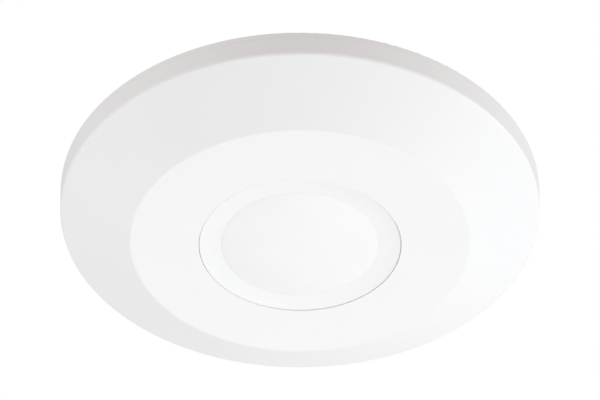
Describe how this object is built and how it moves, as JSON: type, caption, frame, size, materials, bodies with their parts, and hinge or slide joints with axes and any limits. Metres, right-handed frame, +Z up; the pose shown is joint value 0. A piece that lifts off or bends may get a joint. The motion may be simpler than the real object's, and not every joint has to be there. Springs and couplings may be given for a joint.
{
  "type": "ceiling motion sensor",
  "caption": "Slim round white ceiling motion sensor: shallow conical cover with a flat ring round a milky domed lens, over a base plate with circuit board, terminals and tamper switch.",
  "frame": {"origin": "centre of the ceiling face, on the sensor's axis", "axes": "+Z up into the ceiling along the sensor's axis, -Z down into the room, -Y towards the cable entry"},
  "size_m": [0.12, 0.12, 0.017],
  "materials": {
    "housing_white": "fine moulded texture, matt",
    "carrier_white": "plain moulded",
    "lens_milky": "milky, translucent, satin",
    "foam_grey": "open foam",
    "rubber_grey": "soft, matt",
    "board_green": "solder resist over copper",
    "steel_plated": "zinc plated",
    "spring_steel": "bright strip",
    "can_steel": "nickel plated",
    "filter_dark": "dark infrared filter",
    "ceramic_grey": "ceramic",
    "ceramic_white": "lamp base",
    "lamp_clear": "tinted clear",
    "block_green": "moulded",
    "relay_white": "moulded",
    "tinned": "tinned",
    "chip_black": "epoxy",
    "chip_dark": "ceramic and glass",
    "can_aluminium": "drawn",
    "trimmer_blue": "moulded",
    "rotor_white": "moulded",
    "switch_red": "moulded",
    "switch_black": "moulded",
    "plunger_black": "moulded"
  },
  "bodies": {
    "base": {"alarm_relay_case": "relay_white", "alarm_relay_feet": "tinned", "amplifier_chips": "chip_black", "amplifier_leads": "tinned", "base_plate": "housing_white", "cable_grommet": "rubber_grey", "capacitor_bases": "chip_black", "capacitor_cans": "can_aluminium", "carrier_screws": "steel_plated", "carrier_seal": "foam_grey", "ceiling_gasket": "foam_grey", "chip_component_ends": "tinned", "chip_components": "chip_dark", "clip_spring_1": "spring_steel", "clip_spring_2": "spring_steel", "clip_spring_3": "spring_steel", "controller_chip": "chip_black", "controller_leads": "tinned", "dip_switch_body": "switch_red", "fresnel_lens": "lens_milky", "indicator_led_bases": "ceramic_white", "indicator_led_domes": "lamp_clear", "lens_bezel": "housing_white", "lens_carrier": "carrier_white", "main_board": "board_green", "pyro_can": "can_steel", "pyro_element": "ceramic_grey", "pyro_header": "can_steel", "pyro_window": "filter_dark", "regulator_leads": "tinned", "tamper_spring": "spring_steel", "tamper_switch_housing": "switch_black", "terminal_block_housing": "block_green", "terminal_clamps": "steel_plated", "terminal_screws": "steel_plated", "trimmer_body": "trimmer_blue", "voltage_regulator": "chip_black"},
    "cover": {"front_cover": "housing_white"},
    "tamper": {"tamper_plunger": "plunger_black"},
    "rotor": {"trimmer_rotor": "rotor_white"},
    "slider_1": {"dip_slider_1": "rotor_white"},
    "slider_2": {"dip_slider_2": "rotor_white"},
    "slider_3": {"dip_slider_3": "rotor_white"}
  },
  "joints": [
    {"name": "cover_lift", "type": "slide", "parent": "base", "child": "cover", "axis": [0, 0, -1], "range_m": [0, 0.04], "deforming": ["clip_spring_1", "clip_spring_2", "clip_spring_3"]},
    {"name": "tamper_travel", "type": "slide", "parent": "base", "child": "tamper", "axis": [0, 0, -1], "range_m": [0, 0.0014], "deforming": ["tamper_spring"]},
    {"name": "trimmer_turn", "type": "hinge", "parent": "base", "child": "rotor", "pos_m": [0.0225, 0.0225, -0.0075], "axis": [0, 0, -1], "range_deg": [-130, 130]},
    {"name": "dip_1", "type": "slide", "parent": "base", "child": "slider_1", "axis": [1, 0, 0], "range_m": [0, 0.0016]},
    {"name": "dip_2", "type": "slide", "parent": "base", "child": "slider_2", "axis": [1, 0, 0], "range_m": [0, 0.0016]},
    {"name": "dip_3", "type": "slide", "parent": "base", "child": "slider_3", "axis": [1, 0, 0], "range_m": [0, 0.0016]}
  ],
  "couplings": [
    {"joint": "tamper_travel", "follows": "cover_lift", "ratio": 0.035}
  ]
}
